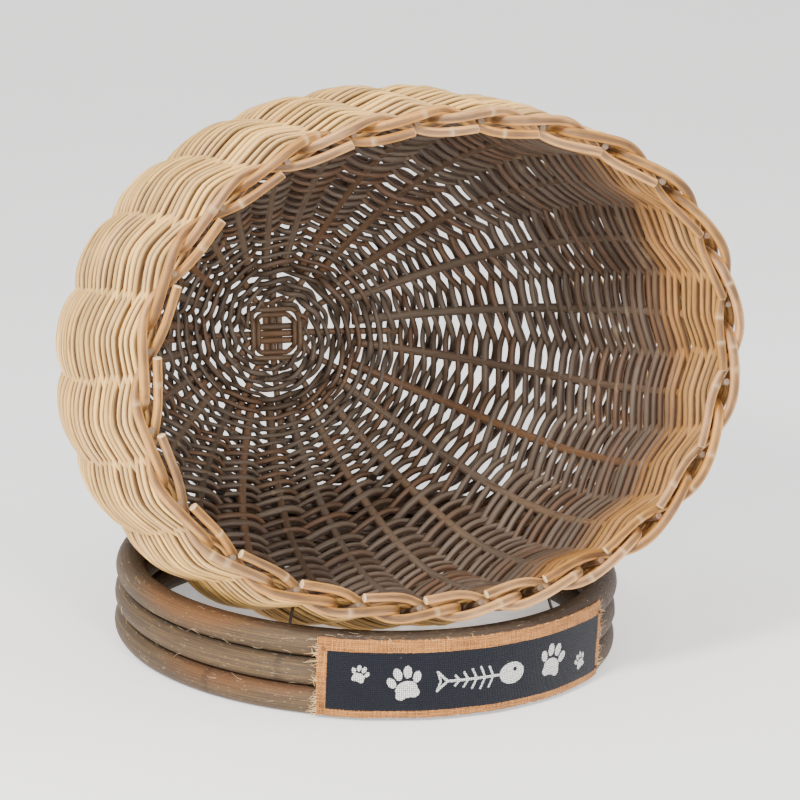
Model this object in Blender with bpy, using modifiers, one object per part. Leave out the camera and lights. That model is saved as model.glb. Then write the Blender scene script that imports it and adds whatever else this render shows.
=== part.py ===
"""Wicker pet bed: a deep willow bowl lying on its side on a ring of three cane hoops.

Metres, +Z up, mouth towards -Y.  The model is laid out about the centre of the ring on the
floor, and a parent empty then puts the origin under the middle of the whole object.
"""
import bpy
import bmesh
from math import atan2, cos, hypot, pi, radians, sin, tau
from mathutils import Vector

# --- Ring of three stacked hoops ---------------------------------------------------------
HOOP_RADIUS = 0.2165         # centre line of each hoop
HOOP_CANE = 0.0256           # thickness of the hoop cane
HOOP_SIDES = 8               # flat-topped section, so the hoops seat on each other
HOOP_STEPS = 48
RING_PIN_DIAMETER = 0.003
RING_PIN_COUNT = 6
RING_PIN_END = 0.008         # wood left under each pin and over its top
RING_PIN_TURN = 0.35         # hoop facets, keeps the pins off the edges between facets

# --- Bowl: rings that grow from the round back to the oval mouth ----------------------------
MOUTH_HALF_WIDTH = 0.265
MOUTH_HALF_HEIGHT = 0.213
MOUTH_FRONT = 0.199          # from the ring's centre forward to the mouth
MOUTH_HEIGHT = 0.300         # mouth's centre over the floor, before the bowl is seated
MOUTH_LEAN = 0.35            # degrees, top of the mouth back
BACK_DEPTH = 0.2745          # from the ring's centre back to the middle of the base
BACK_HEIGHT = 0.213
BACK_TILT = 11.5             # degrees, the base looks a little upward
BOWL_SHIFT = -0.009          # the bowl sits a little to one side of the ring
BELLY_POWER = 2.60           # squareness of the side profile
BELLY_PLACE = 0.808          # share of the depth where the bowl is widest
BELLY_WIDE = 0.023           # extra fullness half way, sideways
BELLY_HIGH = 0.138           # and upward
BELLY_SAG = 0.0120           # the middle of the bowl hangs lower than a straight axis
BELLY_FLAT = 0.048           # the underside is flatter than the top
MOUTH_SQUARE = -0.0125        # the mouth is a little squarer than an ellipse
MOUTH_TOP_FORWARD = -0.0024  # how far the top and the bottom of the mouth bow forward
MOUTH_BOTTOM_FORWARD = 0.0118
FLOOR_CLEARANCE = 0.008      # least height of the belly over the floor
FLAT_CENTRE = 0.12           # the base is taken as flat up to this share of the mouth's size

# --- Weave and stakes ---------------------------------------------------------------------
STAKE_COUNT = 24
STAKE_CANE = 0.0094          # diameter of the stakes, whose ends make the border
WEAVE_THICKNESS = 0.004      # one layer of weavers
LUMP_ROOM = 0.0017           # air between a stake and the weave that bulges over it
FIT_GAP = 0.0003             # clearance between pieces that touch
SIDE_ROWS = 7
STICK_END = 0.46             # shares of the mouth's size, measured in the base
BASE_WEAVE_END = 0.55
BASE_WEAVE_ROWS = 5
SIDE_WEAVE_LEAD = 0.02       # share of the mouth's size left between base and side weave
WEAVE_TOP = 0.69             # stake canes left between the weave and the border's first bend

# --- Base cross -----------------------------------------------------------------------------
STICK_CANE = 0.0062
BINDING_CANE = 0.0048
BINDING_GAP = 0.0006
BINDING_CORNER = 1.2         # binding canes cut off each corner of a square round
CORNER_LEVEL = 0.25          # share of a side's height that is left at its corners
BASE_CLEAR = 2.35            # binding canes between the outer round and the base weave
FAN_LEAD = 0.01              # the sticks start to fan out this much before the base weave

# --- Border: how one stake's end travels, in stake pitches ------------------------------------
# Each row is (pitches travelled, outward offset, forward offset) of the cane's middle, and the
# offsets are counted in stake canes.
BORDER_ROUTE = (
    (0.00, 0.000, 0.000),
    (0.14, 0.000, 0.447),
    (0.30, 0.064, 0.830),
    (0.50, 0.234, 1.149),
    (0.75, 0.553, 1.383),
    (1.00, 0.851, 1.255),
    (1.25, 1.117, 0.596),
    (1.50, 0.681, 0.043),
    (1.75, -0.383, 0.021),
    (2.00, -1.064, 0.447),
    (2.25, -1.106, 0.979),
    (2.50, -0.936, 1.340),
    (2.76, -0.681, 1.489),
)

# --- Fasteners and label -----------------------------------------------------------------------
SEAT_NAIL_DIAMETER = 0.0028
SEAT_NAIL_HEAD = 0.0075
SEAT_NAIL_BITE = 0.009       # length driven into the hoop past its surface
# turn round the mouth, and the stretch of the bowl's depth where the wall passes the hoop
SEAT_NAILS = ((240.0, 0.10, 0.30), (300.0, 0.10, 0.30), (240.0, 0.70, 0.95), (300.0, 0.70, 0.95))
LABEL_LENGTH = 0.300
LABEL_MARGIN = 0.0037        # hoop left bare over and under the label
LABEL_CLOTH = 0.0016
LABEL_TURN = 8.0             # degrees from dead front, towards the viewer's right
TACK_SHANK = 0.0012
TACK_HEAD = 0.0036
TACK_INSET = 0.0055
TACK_BITE = 0.008

BASKET = "wicker_pet_bed"
CANE_PALE = (0.80, 0.62, 0.42)
CANE_TAN = (0.68, 0.49, 0.30)
CANE_GREY = (0.27, 0.22, 0.17)
HOOP_BROWN = (0.22, 0.165, 0.12)
STEEL = (0.55, 0.54, 0.52)
HESSIAN = (0.62, 0.44, 0.25)

hoop_half = HOOP_CANE / 2
hoop_pitch = HOOP_CANE + FIT_GAP
ring_top = 3 * HOOP_CANE + 2 * FIT_GAP
top_hoop_height = ring_top - hoop_half
stake_half = STAKE_CANE / 2
stake_step = tau / STAKE_COUNT
weave_lump = stake_half + WEAVE_THICKNESS / 2 + LUMP_ROOM
label_height = ring_top - 2 * LABEL_MARGIN


# ============================ scene and small helpers ============================
def clear_scene():
    for obj in list(bpy.data.objects):
        bpy.data.objects.remove(obj, do_unlink=True)


def new_collection(name):
    group = bpy.data.collections.new(name)
    bpy.context.scene.collection.children.link(group)
    return group


def make_material(name, colour, roughness, metallic=0.0):
    material = bpy.data.materials.new(name)
    material.use_nodes = True
    shader = material.node_tree.nodes["Principled BSDF"]
    shader.inputs["Base Color"].default_value = (*colour, 1.0)
    shader.inputs["Roughness"].default_value = roughness
    shader.inputs["Metallic"].default_value = metallic
    material.diffuse_color = (*colour, 1.0)
    return material


def add_object(name, data, group, material=None):
    obj = bpy.data.objects.new(name, data)
    group.objects.link(obj)
    if material:
        obj.data.materials.append(material)
    obj.parent = frame_empty
    return obj


def add_part(name, data, colour, roughness, metallic=0.0):
    return add_object(name, data, parts, make_material(name, colour, roughness, metallic))


def mesh_from(name, build):
    """A mesh whose bmesh is filled by the function build."""
    shape = bmesh.new()
    build(shape)
    mesh = bpy.data.meshes.new(name)
    shape.to_mesh(mesh)
    shape.free()
    mesh.shade_smooth()
    mesh.set_sharp_from_angle(angle=radians(40))
    return mesh


def cane_curve(name, points, diameter, closed=False, resolution=1):
    """A round cane along the given points."""
    curve = bpy.data.curves.new(name, "CURVE")
    curve.dimensions = "3D"
    curve.bevel_depth = diameter / 2
    curve.bevel_resolution = resolution
    curve.use_fill_caps = not closed
    spline = curve.splines.new("POLY")
    spline.points.add(len(points) - 1)
    for point, place in zip(spline.points, points):
        point.co = (*place, 1.0)
    spline.use_cyclic_u = closed
    return curve


def drill(target, cutter):
    cut = target.modifiers.new("drill_" + cutter.name, "BOOLEAN")
    cut.operation = "DIFFERENCE"
    cut.object = cutter


def rod_between(shape, start, end, radius, sides):
    """Add a closed cylinder from start to end to a bmesh."""
    axis = end - start
    turn = axis.to_track_quat("Z", "Y").to_matrix().to_4x4()
    turn.translation = (start + end) / 2
    bmesh.ops.create_cone(shape, cap_ends=True, segments=sides, radius1=radius,
                          radius2=radius, depth=axis.length, matrix=turn)


def add_cutter(name, start, end, radius):
    mesh = mesh_from(name, lambda shape: rod_between(shape, start, end, radius, 12))
    cutter = add_object(name, mesh, cutters)
    cutter.hide_render = True
    cutter.display_type = "WIRE"
    return cutter


def nail_mesh(name, head_point, tip, shank, head):
    """A nail whose flat head starts at head_point and whose shank runs to the tip.

    The profile runs down the outer side and is turned about the nail's own axis."""
    length = (tip - head_point).length
    head_deep = head / 5
    profile = [(0, 0), (head / 2, 0), (head / 2, head_deep), (shank / 2, head_deep),
               (shank / 2, length - shank), (0, length)]

    def build(shape):
        turn = (head_point - tip).to_track_quat("Z", "Y").to_matrix().to_4x4()
        turn.translation = head_point
        ring = [shape.verts.new((radius, 0, -drop)) for radius, drop in profile]
        edges = [shape.edges.new(pair) for pair in zip(ring, ring[1:])]
        bmesh.ops.spin(shape, geom=ring + edges, cent=(0, 0, 0), axis=(0, 0, 1),
                       angle=tau, steps=10, use_merge=True)
        bmesh.ops.remove_doubles(shape, verts=shape.verts, dist=1e-6)
        bmesh.ops.recalc_face_normals(shape, faces=shape.faces)
        bmesh.ops.transform(shape, matrix=turn, verts=shape.verts)
    return mesh_from(name, build)


# ============================ shape of the bowl ============================
def belly(depth):
    """Size of the ring at a share of the depth, against the mouth's size."""
    def swell(share):
        return (1 - abs(1 - share / BELLY_PLACE) ** BELLY_POWER) ** (1 / BELLY_POWER)
    return swell(depth) / swell(1.0)


def depth_of_size(size):
    """Share of the depth at which the rear part of the bowl has reached a size."""
    at_mouth = (1 - abs(1 - 1 / BELLY_PLACE) ** BELLY_POWER) ** (1 / BELLY_POWER)
    reach = (size * at_mouth) ** BELLY_POWER
    return BELLY_PLACE * (1 - (1 - reach) ** (1 / BELLY_POWER))


def wall_middle(depth, angle):
    """Point in the middle of the wall: depth 0 at the base, 1 at the mouth."""
    size = belly(depth)
    mid = sin(pi * depth)
    square = 1 + depth ** 2 * MOUTH_SQUARE * cos(4 * angle)
    half_width = MOUTH_HALF_WIDTH * (1 + BELLY_WIDE * mid) * size * square
    half_height = MOUTH_HALF_HEIGHT * (1 + BELLY_HIGH * mid) * size * square
    rise = sin(angle)
    bow = MOUTH_TOP_FORWARD
    if rise < 0:
        half_height *= 1 - BELLY_FLAT * mid
        bow = MOUTH_BOTTOM_FORWARD
    centre = Vector((0, BACK_DEPTH, BACK_HEIGHT)).lerp(Vector((0, -MOUTH_FRONT, MOUTH_HEIGHT)), depth)
    centre += Vector((BOWL_SHIFT, 0, bowl_lift - BELLY_SAG * mid))
    tilt = radians(BACK_TILT * (1 - depth) + MOUTH_LEAN * depth)
    up = Vector((0, sin(tilt), cos(tilt)))
    forward = Vector((0, -cos(tilt), sin(tilt)))
    return (centre + Vector((half_width * cos(angle), 0, 0)) + up * half_height * rise
            + forward * bow * rise ** 2 * depth ** 3)


def wall_frame(depth, angle):
    """Middle of the wall with its outward and its forward direction, both of length 1."""
    middle = wall_middle(depth, angle)
    if belly(depth) < FLAT_CENTRE:
        tilt = radians(BACK_TILT)
        return middle, Vector((0, cos(tilt), -sin(tilt))), Vector((cos(angle), 0, sin(angle)))
    turn = 0.01
    small = min(0.0005, depth / 20)
    forward = wall_middle(min(depth + small, 1.0), angle) - wall_middle(depth - small, angle)
    around = wall_middle(depth, angle + turn) - wall_middle(depth, angle - turn)
    return middle, around.cross(forward).normalized(), forward.normalized()


def wall_point(depth, angle, offset):
    middle, outward, _ = wall_frame(depth, angle)
    return middle + outward * offset


def even_depths(first, last, count):
    """Depths from first to last, evenly spaced along the side of the bowl."""
    steps = 240
    depths = [first + (last - first) * step / steps for step in range(steps + 1)]
    places = [wall_middle(depth, radians(20)) for depth in depths]
    lengths = [0.0]
    for one, other in zip(places, places[1:]):
        lengths.append(lengths[-1] + (other - one).length)
    chosen = []
    for row in range(count + 1):
        wanted = lengths[-1] * row / count
        index = max(i for i in range(steps + 1) if lengths[i] <= wanted + 1e-9)
        if index == steps:
            chosen.append(last)
            continue
        share = (wanted - lengths[index]) / (lengths[index + 1] - lengths[index])
        chosen.append(depths[index] + share * (depths[index + 1] - depths[index]))
    return chosen


def base_point(sideways, upward, offset):
    """Point of the base under flat coordinates measured from its middle."""
    across, along = sideways / MOUTH_HALF_WIDTH, upward / MOUTH_HALF_HEIGHT
    size = max(hypot(across, along), 1e-4)
    return wall_point(depth_of_size(size), atan2(along, across), offset)


def even_angle(turn):
    """Angle round the wall of a line that stands at an even turn, seen from the front."""
    return atan2(MOUTH_HALF_WIDTH * sin(turn), MOUTH_HALF_HEIGHT * cos(turn))


def stake_angle(index, travelled=0.0):
    """Angle of a stake, or of its end once that has travelled some pitches clockwise."""
    return even_angle(stake_step * (index + 0.5 - travelled))


def seat_lift():
    """How far the bowl is raised so that it rests on the top hoop, clear of the floor."""
    skin = weave_lump + WEAVE_THICKNESS / 2
    border_out = max(row[1] for row in BORDER_ROUTE) * STAKE_CANE + stake_half
    border_front = max(row[2] for row in BORDER_ROUTE) * STAKE_CANE + stake_half
    hoop_reach = hoop_half / cos(pi / HOOP_SIDES) + FIT_GAP
    spots = []
    for step in range(120):
        angle = pi + pi * step / 119
        spots += [wall_point(0.05 + 0.95 * row / 60, angle, skin) for row in range(61)]
        middle, outward, forward = wall_frame(1.0, angle)
        spots += [middle + outward * border_out + forward * border_front * part
                  for part in (-0.3, 0.1, 0.4, 0.7, 1.0)]
    lift = max(FLOOR_CLEARANCE - spot.z for spot in spots)
    for spot in spots:
        across = abs(hypot(spot.x, spot.y) - HOOP_RADIUS)
        if across < hoop_reach:
            needed = top_hoop_height + (hoop_reach ** 2 - across ** 2) ** 0.5 + FIT_GAP
            lift = max(lift, needed - spot.z)
    return lift


# ============================ ring ============================
def add_hoop(name, height):
    """One hoop: an eight-sided section turned about Z, flat on top and underneath."""
    reach = hoop_half / cos(pi / HOOP_SIDES)
    section = []
    for side in range(HOOP_SIDES):
        angle = tau * (side + 0.5) / HOOP_SIDES
        section.append((HOOP_RADIUS + reach * cos(angle), 0, height + reach * sin(angle)))

    def build(shape):
        loop = [shape.verts.new(place) for place in section]
        edges = [shape.edges.new(pair) for pair in zip(loop, loop[1:] + loop[:1])]
        bmesh.ops.spin(shape, geom=loop + edges, cent=(0, 0, 0), axis=(0, 0, 1),
                       angle=tau, steps=HOOP_STEPS, use_merge=True)
        bmesh.ops.remove_doubles(shape, verts=shape.verts, dist=1e-6)
        bmesh.ops.recalc_face_normals(shape, faces=shape.faces)
    return add_part(name, mesh_from(name, build), HOOP_BROWN, 0.62)


def add_ring_pins(hoops):
    """Headless pins down through all three hoops, between the nails that hold the bowl."""
    for number in range(RING_PIN_COUNT):
        angle = tau * (number + 0.5) / RING_PIN_COUNT + RING_PIN_TURN * tau / HOOP_STEPS
        place = Vector((HOOP_RADIUS * cos(angle), HOOP_RADIUS * sin(angle), 0))
        low = place + Vector((0, 0, RING_PIN_END))
        high = place + Vector((0, 0, ring_top - RING_PIN_END))
        name = f"ring_pin_{number + 1}"
        radius = RING_PIN_DIAMETER / 2
        mesh = mesh_from(name, lambda shape: rod_between(shape, low, high, radius, 8))
        add_part(name, mesh, STEEL, 0.35, 1.0)
        end = Vector((0, 0, FIT_GAP))
        above = place + Vector((0, 0, ring_top + hoop_half))
        cutter = add_cutter(name + "_hole", low - end, above, radius + FIT_GAP)
        for hoop in hoops:
            drill(hoop, cutter)


# ============================ base ============================
def add_base_sticks():
    """Three sticks lie across three others, and each fans out to its own spoke."""
    stick_pitch = STICK_CANE + BINDING_GAP
    straight = binding_reaches()[1] + BINDING_CANE
    fan = tau / 12
    fan_start = base_weave_start() - FAN_LEAD
    fan_sizes = [fan_start + (STICK_END - fan_start) * step / 4 for step in range(5)]
    for across in (True, False):
        layer = -(STICK_CANE + BINDING_GAP) / 2 if across else (STICK_CANE + BINDING_GAP) / 2
        for number in (-1, 0, 1):
            half = [((0.0, number * stick_pitch), layer), ((straight, number * stick_pitch), layer)]
            angle = even_angle(fan * number if across else pi / 2 - fan * number)
            for size in fan_sizes:
                flat = (size * MOUTH_HALF_WIDTH * cos(angle), size * MOUTH_HALF_HEIGHT * sin(angle))
                half.append((flat if across else flat[::-1], 0.0))
            route = [((-run, side), lift) for (run, side), lift in reversed(half[1:])] + half
            points = []
            for (run, side), lift in route:
                sideways, upward = (run, side) if across else (side, run)
                points.append(base_point(sideways, upward, lift))
            kind = "across" if across else "upright"
            name = f"base_stick_{kind}_{number + 2}"
            add_part(name, cane_curve(name, points, STICK_CANE), CANE_GREY, 0.7)


def binding_reaches():
    """Half sizes of the two square rounds that tie the cross."""
    first = 2.5 * STICK_CANE + BINDING_GAP + BINDING_CANE / 2
    return first, first + BINDING_CANE + BINDING_GAP


def base_weave_start():
    """Share of the mouth's size at which the base weave starts, clear of the bindings."""
    return (binding_reaches()[1] + BASE_CLEAR * BINDING_CANE) / MOUTH_HALF_HEIGHT


def stake_start():
    """Share of the mouth's size at which a stake fits in beside a base stick."""
    apart = (STICK_CANE + STAKE_CANE) / 2 + 2 * FIT_GAP
    return apart / (MOUTH_HALF_HEIGHT * sin(stake_step / 2))


def add_cross_bindings():
    """Two square rounds of cane tie the cross, each in front of one set and behind the other."""
    stick_reach = 1.5 * STICK_CANE + 2 * BINDING_GAP
    first, second = binding_reaches()
    near = (BINDING_CANE + BINDING_GAP) / 2
    far = STICK_CANE + BINDING_GAP + near
    for name, reach, over_uprights, over_across in (
            ("cross_binding_inner", first, -near, near),
            ("cross_binding_outer", second, far, -far)):
        corner = BINDING_CANE * BINDING_CORNER
        side = reach - corner
        points = []
        for quarter in range(4):
            level = over_across if quarter % 2 == 0 else over_uprights
            cosine, sine = round(cos(quarter * pi / 2)), round(sin(quarter * pi / 2))
            # the middle run lies level over its three sticks, and the corner is level with neither
            for along, out, share in ((-side, reach, CORNER_LEVEL), (-stick_reach, reach, 1.0),
                                      (stick_reach, reach, 1.0), (side, reach, CORNER_LEVEL)):
                sideways = out * cosine - along * sine
                upward = out * sine + along * cosine
                points.append(base_point(sideways, upward, level * share))
        add_part(name, cane_curve(name, points, BINDING_CANE, closed=True), CANE_GREY, 0.7)


# ============================ woven layers ============================
def woven_layer(name, depths, lump, valley, colour):
    """One layer of weavers: an open sheet, high over the stakes and low between, thickened."""
    columns = STAKE_COUNT * 2

    def build(shape):
        grid = []
        for depth in depths:
            row = []
            for column in range(columns):
                offset = lump if column % 2 else valley
                angle = even_angle(stake_step * column / 2)
                row.append(shape.verts.new(wall_point(depth, angle, offset)))
            grid.append(row)
        for low, high in zip(grid, grid[1:]):
            for column in range(columns):
                after = (column + 1) % columns
                shape.faces.new((low[column], low[after], high[after], high[column]))

    layer = add_part(name, mesh_from(name, build), colour, 0.65)
    thick = layer.modifiers.new("thickness", "SOLIDIFY")
    thick.thickness = WEAVE_THICKNESS
    thick.offset = 0.0
    return layer


def add_weave():
    level = stake_half + WEAVE_THICKNESS / 2 + FIT_GAP * 1.5
    valley = WEAVE_THICKNESS / 2 + FIT_GAP * 1.5
    first = base_weave_start()
    base_depths = [depth_of_size(first + (BASE_WEAVE_END - first) * row / BASE_WEAVE_ROWS)
                   for row in range(BASE_WEAVE_ROWS + 1)]
    layers = [woven_layer("base_weave_outer", base_depths, level, level, CANE_GREY),
              woven_layer("base_weave_inner", base_depths, -level, -level, CANE_GREY)]
    side_start = depth_of_size(BASE_WEAVE_END + SIDE_WEAVE_LEAD)
    mouth_step = (wall_middle(1.0, 0) - wall_middle(0.99, 0)).length / 0.01
    side_end = 1.0 - WEAVE_TOP * STAKE_CANE / mouth_step
    side_depths = even_depths(side_start, side_end, SIDE_ROWS)
    layers.append(woven_layer("side_weave_outer", side_depths, weave_lump, valley, CANE_PALE))
    layers.append(woven_layer("side_weave_inner", side_depths, -weave_lump, -valley, CANE_TAN))
    return layers, base_depths, side_depths


def border_point(index, travelled, outward_by, forward_by):
    """Place of a stake's end once it has travelled some pitches clockwise round the mouth."""
    middle, outward, forward = wall_frame(1.0, stake_angle(index, travelled))
    return middle + (outward * outward_by + forward * forward_by) * STAKE_CANE


def add_stakes(base_depths, side_depths):
    """Each stake starts beside a base stick, climbs the wall and ends in the border."""
    first = depth_of_size(stake_start())
    climb = [first] + [depth for depth in base_depths if depth > first * 1.1] + side_depths
    for index in range(STAKE_COUNT):
        points = [wall_point(depth, stake_angle(index), 0.0) for depth in climb]
        points += [border_point(index, *row) for row in BORDER_ROUTE]
        name = f"stake_{index + 1:02d}"
        add_part(name, cane_curve(name, points, STAKE_CANE), CANE_TAN, 0.6)


# ============================ fasteners and label ============================
def nearest_to_hoop(angle, first, last):
    """Where one line up the wall passes closest to the top hoop's centre line."""
    best = None
    for step in range(101):
        depth = first + (last - first) * step / 100
        middle = wall_middle(depth, angle)
        flat = hypot(middle.x, middle.y)
        hoop = Vector((middle.x * HOOP_RADIUS / flat, middle.y * HOOP_RADIUS / flat, top_hoop_height))
        gap = (hoop - middle).length
        if best is None or gap < best[0]:
            best = (gap, middle, hoop)
    return best[1], best[2]


def add_seat_nails(layers, top_hoop):
    """Nails from inside the bowl, through both layers of weave, into the top hoop."""
    shank = SEAT_NAIL_DIAMETER
    skin = WEAVE_THICKNESS + FIT_GAP * 1.5
    for number, (degrees, first, last) in enumerate(SEAT_NAILS):
        middle, hoop = nearest_to_hoop(even_angle(radians(degrees)), first, last)
        way = (hoop - middle).normalized()
        tip = hoop - way * (hoop_half - SEAT_NAIL_BITE)
        under_head = middle - way * (skin + 3 * FIT_GAP)
        head = under_head - way * SEAT_NAIL_HEAD / 5
        name = f"seat_nail_{number + 1}"
        add_part(name, nail_mesh(name, head, tip, shank, SEAT_NAIL_HEAD), STEEL, 0.35, 1.0)
        above_head = head - way * weave_lump
        hole = add_cutter(name + "_hole", above_head, tip + way * FIT_GAP, shank / 2 + FIT_GAP)
        pocket = add_cutter(name + "_pocket", above_head, under_head + way * FIT_GAP,
                            SEAT_NAIL_HEAD / 2 + FIT_GAP)
        for target in layers + [top_hoop]:
            drill(target, hole)
        drill(layers[1], pocket)


def label_point(along, height, out):
    """Point of the label: along its length from the middle, out from the hoops' face."""
    radius = HOOP_RADIUS + hoop_half / cos(pi / HOOP_SIDES) + FIT_GAP + out
    angle = radians(LABEL_TURN - 90) + along / (radius - out)
    return Vector((radius * cos(angle), radius * sin(angle), height))


def add_label(hoops):
    """A strip of hessian round the front of the ring, tacked at its corners."""
    columns = 12
    low = (ring_top - label_height) / 2
    middle = LABEL_CLOTH / 2

    def build(shape):
        rows = []
        for height in (low, low + label_height):
            rows.append([shape.verts.new(label_point(LABEL_LENGTH * (step / columns - 0.5),
                                                     height, middle))
                         for step in range(columns + 1)])
        for step in range(columns):
            shape.faces.new((rows[0][step], rows[0][step + 1], rows[1][step + 1], rows[1][step]))

    label = add_part("label_hessian", mesh_from("label_hessian", build), HESSIAN, 0.9)
    thick = label.modifiers.new("thickness", "SOLIDIFY")
    thick.thickness = LABEL_CLOTH
    thick.offset = 0.0
    ends = LABEL_LENGTH / 2 - TACK_INSET
    number = 0
    for along in (-ends, ends):
        for height, hoop in ((hoop_half, hoops[0]), (top_hoop_height, hoops[2])):
            number += 1
            name = f"label_tack_{number}"
            head_deep = TACK_HEAD / 5
            head = label_point(along, height, LABEL_CLOTH + FIT_GAP + head_deep)
            tip = label_point(along, height, -TACK_BITE)
            add_part(name, nail_mesh(name, head, tip, TACK_SHANK, TACK_HEAD), STEEL, 0.4, 1.0)
            outside = label_point(along, height, LABEL_CLOTH + 0.003)
            inside = label_point(along, height, -TACK_BITE - FIT_GAP)
            cutter = add_cutter(name + "_hole", outside, inside, TACK_SHANK / 2 + FIT_GAP)
            drill(label, cutter)
            drill(hoop, cutter)


def centre_on_footprint():
    """Move everything so that the origin is under the middle of the whole object."""
    bpy.context.view_layer.update()
    graph = bpy.context.evaluated_depsgraph_get()
    lows, highs = [], []
    for obj in parts.objects:
        shape = obj.evaluated_get(graph)
        mesh = shape.to_mesh()
        places = [shape.matrix_world @ vertex.co for vertex in mesh.vertices]
        lows.append([min(place[axis] for place in places) for axis in range(2)])
        highs.append([max(place[axis] for place in places) for axis in range(2)])
        shape.to_mesh_clear()
    middle = [(min(low[axis] for low in lows) + max(high[axis] for high in highs)) / 2
              for axis in range(2)]
    frame_empty.location = (-middle[0], -middle[1], 0.0)


clear_scene()
parts = new_collection(BASKET)
cutters = new_collection("cutters")
frame_empty = bpy.data.objects.new("basket_frame", None)
bpy.context.scene.collection.objects.link(frame_empty)

bowl_lift = 0.0              # seat_lift measures the bowl before it is raised
bowl_lift = seat_lift()

ring_hoops = [add_hoop(name, hoop_half + hoop_pitch * level)
              for level, name in enumerate(("hoop_lower", "hoop_middle", "hoop_top"))]
add_ring_pins(ring_hoops)
add_base_sticks()
add_cross_bindings()
weave_layers, base_rows, side_rows = add_weave()
add_stakes(base_rows, side_rows)
add_seat_nails(weave_layers[2:], ring_hoops[2])
add_label(ring_hoops)
centre_on_footprint()
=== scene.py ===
from math import cos, pi, radians, sin, tau

import bpy
import numpy as np
from mathutils import Matrix, Vector


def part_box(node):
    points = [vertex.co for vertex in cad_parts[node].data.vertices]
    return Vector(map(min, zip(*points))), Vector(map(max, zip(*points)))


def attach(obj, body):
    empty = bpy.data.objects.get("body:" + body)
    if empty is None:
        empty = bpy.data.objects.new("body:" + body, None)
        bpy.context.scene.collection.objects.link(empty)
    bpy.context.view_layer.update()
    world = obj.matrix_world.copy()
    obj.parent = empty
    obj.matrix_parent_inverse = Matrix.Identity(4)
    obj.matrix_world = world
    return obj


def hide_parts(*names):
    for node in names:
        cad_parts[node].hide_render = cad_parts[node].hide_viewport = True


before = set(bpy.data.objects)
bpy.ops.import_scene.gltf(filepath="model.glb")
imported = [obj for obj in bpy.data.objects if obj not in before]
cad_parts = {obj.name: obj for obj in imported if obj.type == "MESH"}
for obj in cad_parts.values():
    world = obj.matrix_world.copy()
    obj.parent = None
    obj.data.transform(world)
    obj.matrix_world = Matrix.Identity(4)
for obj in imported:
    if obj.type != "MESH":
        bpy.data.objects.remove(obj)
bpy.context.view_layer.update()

print("wicker pet bed: frame loaded")


# places taken from the frame
ringLow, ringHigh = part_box("hoop_lower")
ringX, ringY = (ringLow.x + ringHigh.x) / 2, (ringLow.y + ringHigh.y) / 2
ringOut = (ringHigh.x - ringLow.x) / 2
hoopThick = ringHigh.z - ringLow.z

bowl = {
    "halfWidth": 0.265, "halfHeight": 0.213,       # the mouth's middle line
    "mouthFront": 0.199, "mouthHeight": 0.300, "mouthLean": 0.35,
    "backDepth": 0.2745, "backHeight": 0.213, "backTilt": 11.5,
    "shift": -0.009, "lift": 0.00517,
    "power": 2.60, "place": 0.808,                 # side profile: squareness, widest depth
    "wide": 0.023, "high": 0.138, "sag": 0.012, "flat": 0.048,
    "square": -0.0125, "topForward": -0.0024, "bottomForward": 0.0118,
}
stakes = {"count": 24, "half": 0.0047}
pitchTurn = tau / stakes["count"]


# the wall's surface, as arrays of depth (0 base, 1 mouth) and of even turns
def swell(share):
    return (1 - np.abs(1 - share / bowl["place"]) ** bowl["power"]) ** (1 / bowl["power"])


def depthOfSize(size):
    reach = np.clip(size * swell(1.0), 0, 0.9999) ** bowl["power"]
    return bowl["place"] * (1 - (1 - reach) ** (1 / bowl["power"]))


def wallAngle(turn):
    return np.arctan2(bowl["halfWidth"] * np.sin(turn), bowl["halfHeight"] * np.cos(turn))


def wallMiddle(depth, angle):
    size = swell(depth) / swell(1.0)
    mid = np.sin(pi * depth)
    square = 1 + depth ** 2 * bowl["square"] * np.cos(4 * angle)
    halfWidth = bowl["halfWidth"] * (1 + bowl["wide"] * mid) * size * square
    halfHeight = bowl["halfHeight"] * (1 + bowl["high"] * mid) * size * square
    rise = np.sin(angle)
    halfHeight = np.where(rise < 0, halfHeight * (1 - bowl["flat"] * mid), halfHeight)
    bow = np.where(rise < 0, bowl["bottomForward"], bowl["topForward"]) * rise ** 2 * depth ** 3
    tilt = np.radians(bowl["backTilt"] * (1 - depth) + bowl["mouthLean"] * depth)
    x = ringX + bowl["shift"] + halfWidth * np.cos(angle)
    y = ringY + bowl["backDepth"] - (bowl["mouthFront"] + bowl["backDepth"]) * depth
    z = bowl["backHeight"] + (bowl["mouthHeight"] - bowl["backHeight"]) * depth
    z = z + bowl["lift"] - bowl["sag"] * mid
    y = y + np.sin(tilt) * halfHeight * rise - np.cos(tilt) * bow
    z = z + np.cos(tilt) * halfHeight * rise + np.sin(tilt) * bow
    return np.stack(np.broadcast_arrays(x, y, z), -1)


def unit(vectors):
    return vectors / np.maximum(np.linalg.norm(vectors, axis=-1, keepdims=True), 1e-12)


def wallFrame(depth, turn):
    # middle of the wall, its outward direction and the direction towards the mouth
    depth, turn = np.broadcast_arrays(np.asarray(depth, float), np.asarray(turn, float))
    angle = wallAngle(turn)
    small = np.minimum(0.0005, depth / 20)
    ahead = wallMiddle(np.minimum(depth + small, 1.0), angle) - wallMiddle(depth - small, angle)
    around = wallMiddle(depth, angle + 0.01) - wallMiddle(depth, angle - 0.01)
    outward = unit(np.cross(around, ahead))
    tilt = radians(bowl["backTilt"])
    flat = (swell(depth) / swell(1.0) < 0.12)[..., None]
    outward = np.where(flat, np.array((0, cos(tilt), -sin(tilt))), outward)
    return wallMiddle(depth, angle), outward, unit(ahead)


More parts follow.
